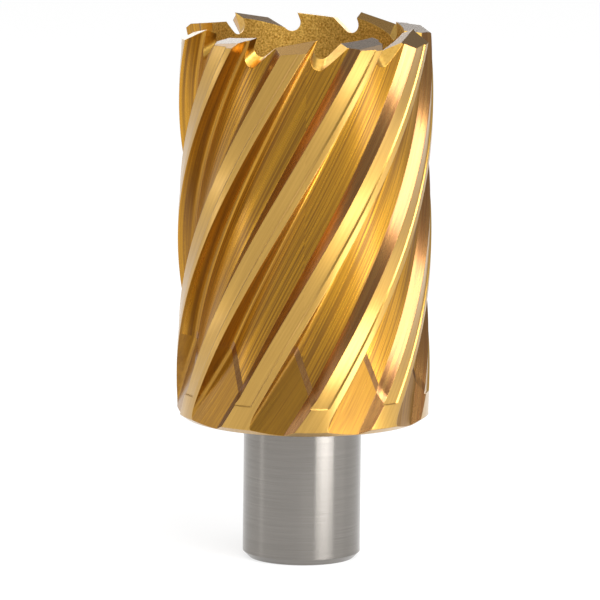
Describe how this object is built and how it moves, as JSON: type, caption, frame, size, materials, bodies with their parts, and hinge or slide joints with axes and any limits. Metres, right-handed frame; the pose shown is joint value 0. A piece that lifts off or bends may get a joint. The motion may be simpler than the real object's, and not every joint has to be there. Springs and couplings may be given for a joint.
{
  "type": "annular cutter",
  "caption": "Hollow hole cutter: a fluted cup with high and low teeth round its rim, on a plain round shank with clamping flats and a through bore for an ejector pin.",
  "frame": {"origin": "centre of the shank end, on the axis", "axes": "+Z along the axis from the shank end to the teeth; a high tooth's outer edge lies close to -Y at the tips"},
  "size_m": [0.041, 0.041, 0.0871],
  "materials": {
    "coated_steel": "ground tool steel with a gold nitride coating on the cup; the shank and the tooth tops are bare ground steel"
  },
  "bodies": {
    "root": {"annular_cutter": "coated_steel"}
  },
  "joints": []
}
